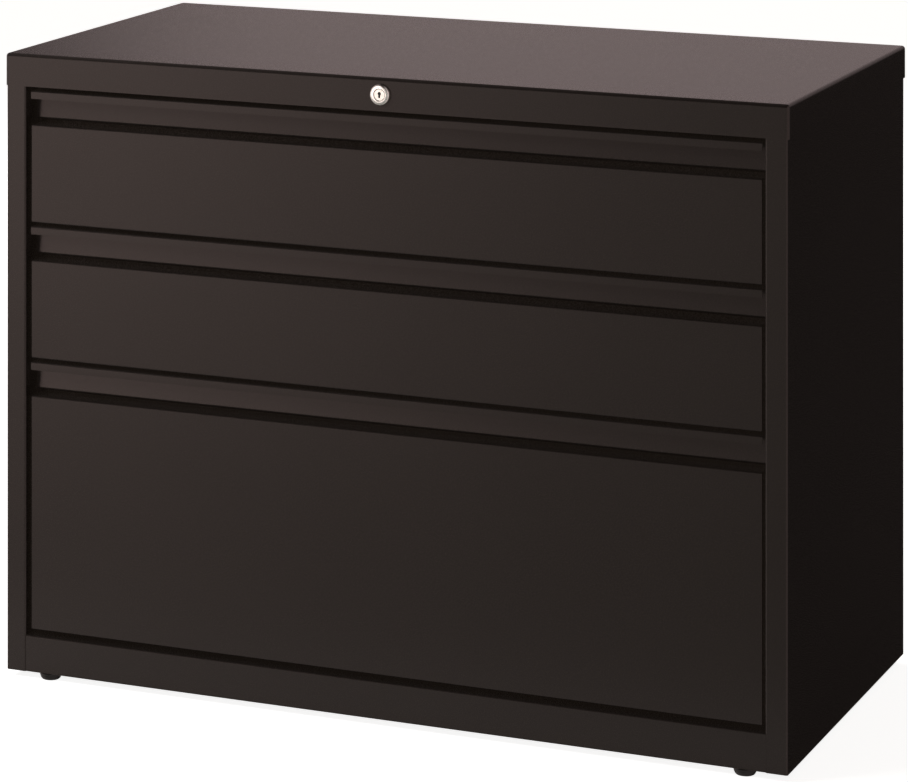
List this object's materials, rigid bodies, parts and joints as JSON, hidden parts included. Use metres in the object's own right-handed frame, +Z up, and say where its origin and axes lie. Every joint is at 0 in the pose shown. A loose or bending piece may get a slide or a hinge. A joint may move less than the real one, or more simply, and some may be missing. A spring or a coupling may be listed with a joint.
{
  "type": "lateral filing cabinet",
  "caption": "Wide low steel lateral filing cabinet: shallow box drawers over a deep file drawer, full-width finger pulls, a lock in the top rail and levelling glides.",
  "frame": {"origin": "on the floor, under the middle of the cabinet's box", "axes": "+Z up, front and drawers face -Y, +X to the right of someone facing the drawers"},
  "size_m": [0.9144, 0.4772, 0.7042],
  "materials": {
    "powder_coat": "satin dark charcoal-brown powder coat with a fine texture",
    "zinc_steel": "bright zinc-plated steel",
    "lock_nickel": "polished nickel plate",
    "lock_plug": "satin nickel plate over brass",
    "black_nylon": "matt black moulded nylon",
    "raw_iron": "bare dark iron"
  },
  "bodies": {
    "case": {"top_cover": "powder_coat", "left_side_panel": "powder_coat", "right_side_panel": "powder_coat", "back_panel": "powder_coat", "base_front_rail": "powder_coat", "base_pan": "powder_coat", "counterweight": "raw_iron", "top_front_channel": "powder_coat", "left_front_upright": "powder_coat", "left_rear_upright": "powder_coat", "right_front_upright": "powder_coat", "right_rear_upright": "powder_coat", "file_left_outer_rail": "zinc_steel", "file_right_outer_rail": "zinc_steel", "middle_left_outer_rail": "zinc_steel", "middle_right_outer_rail": "zinc_steel", "top_left_outer_rail": "zinc_steel", "top_right_outer_rail": "zinc_steel", "lock_housing": "lock_nickel", "lock_nut": "zinc_steel", "lock_bar_guide": "black_nylon", "lock_rod_bracket": "zinc_steel", "front_left_glide_nut": "zinc_steel", "front_right_glide_nut": "zinc_steel", "rear_left_glide_nut": "zinc_steel", "rear_right_glide_nut": "zinc_steel"},
    "file_drawer": {"file_drawer_front": "powder_coat", "file_drawer_pull": "powder_coat", "file_drawer_tray": "powder_coat", "file_drawer_catch": "zinc_steel", "file_left_inner_rail": "zinc_steel", "file_right_inner_rail": "zinc_steel", "front_hanging_rail": "zinc_steel", "rear_hanging_rail": "zinc_steel"},
    "middle_drawer": {"middle_drawer_front": "powder_coat", "middle_drawer_pull": "powder_coat", "middle_drawer_tray": "powder_coat", "middle_drawer_catch": "zinc_steel", "middle_left_inner_rail": "zinc_steel", "middle_right_inner_rail": "zinc_steel"},
    "top_drawer": {"top_drawer_front": "powder_coat", "top_drawer_pull": "powder_coat", "top_drawer_tray": "powder_coat", "top_drawer_catch": "zinc_steel", "top_left_inner_rail": "zinc_steel", "top_right_inner_rail": "zinc_steel"},
    "file_slides": {"file_left_middle_rail": "zinc_steel", "file_right_middle_rail": "zinc_steel"},
    "middle_slides": {"middle_left_middle_rail": "zinc_steel", "middle_right_middle_rail": "zinc_steel"},
    "top_slides": {"top_left_middle_rail": "zinc_steel", "top_right_middle_rail": "zinc_steel"},
    "lock_cylinder": {"lock_plug": "lock_plug", "lock_rod": "zinc_steel"},
    "lock_bar": {"lock_bar": "zinc_steel"},
    "front_left_glide": {"front_left_glide": "black_nylon"},
    "front_right_glide": {"front_right_glide": "black_nylon"},
    "rear_left_glide": {"rear_left_glide": "black_nylon"},
    "rear_right_glide": {"rear_right_glide": "black_nylon"}
  },
  "joints": [
    {"name": "file_drawer_slide", "type": "slide", "parent": "case", "child": "file_drawer", "axis": [0, -1, 0], "range_m": [0, 0.38]},
    {"name": "middle_drawer_slide", "type": "slide", "parent": "case", "child": "middle_drawer", "axis": [0, -1, 0], "range_m": [0, 0.38]},
    {"name": "top_drawer_slide", "type": "slide", "parent": "case", "child": "top_drawer", "axis": [0, -1, 0], "range_m": [0, 0.38]},
    {"name": "file_middle_rails", "type": "slide", "parent": "case", "child": "file_slides", "axis": [0, -1, 0], "range_m": [0, 0.19]},
    {"name": "middle_middle_rails", "type": "slide", "parent": "case", "child": "middle_slides", "axis": [0, -1, 0], "range_m": [0, 0.19]},
    {"name": "top_middle_rails", "type": "slide", "parent": "case", "child": "top_slides", "axis": [0, -1, 0], "range_m": [0, 0.19]},
    {"name": "lock_turn", "type": "hinge", "parent": "case", "child": "lock_cylinder", "pos_m": [0, -0.23455, 0.686], "axis": [0, 1, 0], "range_deg": [0, 90]},
    {"name": "lock_bar_lift", "type": "slide", "parent": "case", "child": "lock_bar", "axis": [0, 0, 1], "range_m": [0, 0.01697]},
    {"name": "front_left_glide_height", "type": "slide", "parent": "case", "child": "front_left_glide", "axis": [0, 0, 1], "range_m": [-0.02, 0]},
    {"name": "front_right_glide_height", "type": "slide", "parent": "case", "child": "front_right_glide", "axis": [0, 0, 1], "range_m": [-0.02, 0]},
    {"name": "rear_left_glide_height", "type": "slide", "parent": "case", "child": "rear_left_glide", "axis": [0, 0, 1], "range_m": [-0.02, 0]},
    {"name": "rear_right_glide_height", "type": "slide", "parent": "case", "child": "rear_right_glide", "axis": [0, 0, 1], "range_m": [-0.02, 0]}
  ],
  "couplings": [
    {"joint": "file_middle_rails", "follows": "file_drawer_slide", "ratio": 0.5},
    {"joint": "middle_middle_rails", "follows": "middle_drawer_slide", "ratio": 0.5},
    {"joint": "top_middle_rails", "follows": "top_drawer_slide", "ratio": 0.5},
    {"joint": "lock_turn", "follows": "lock_bar_lift", "rad_per_m": 92.56}
  ]
}
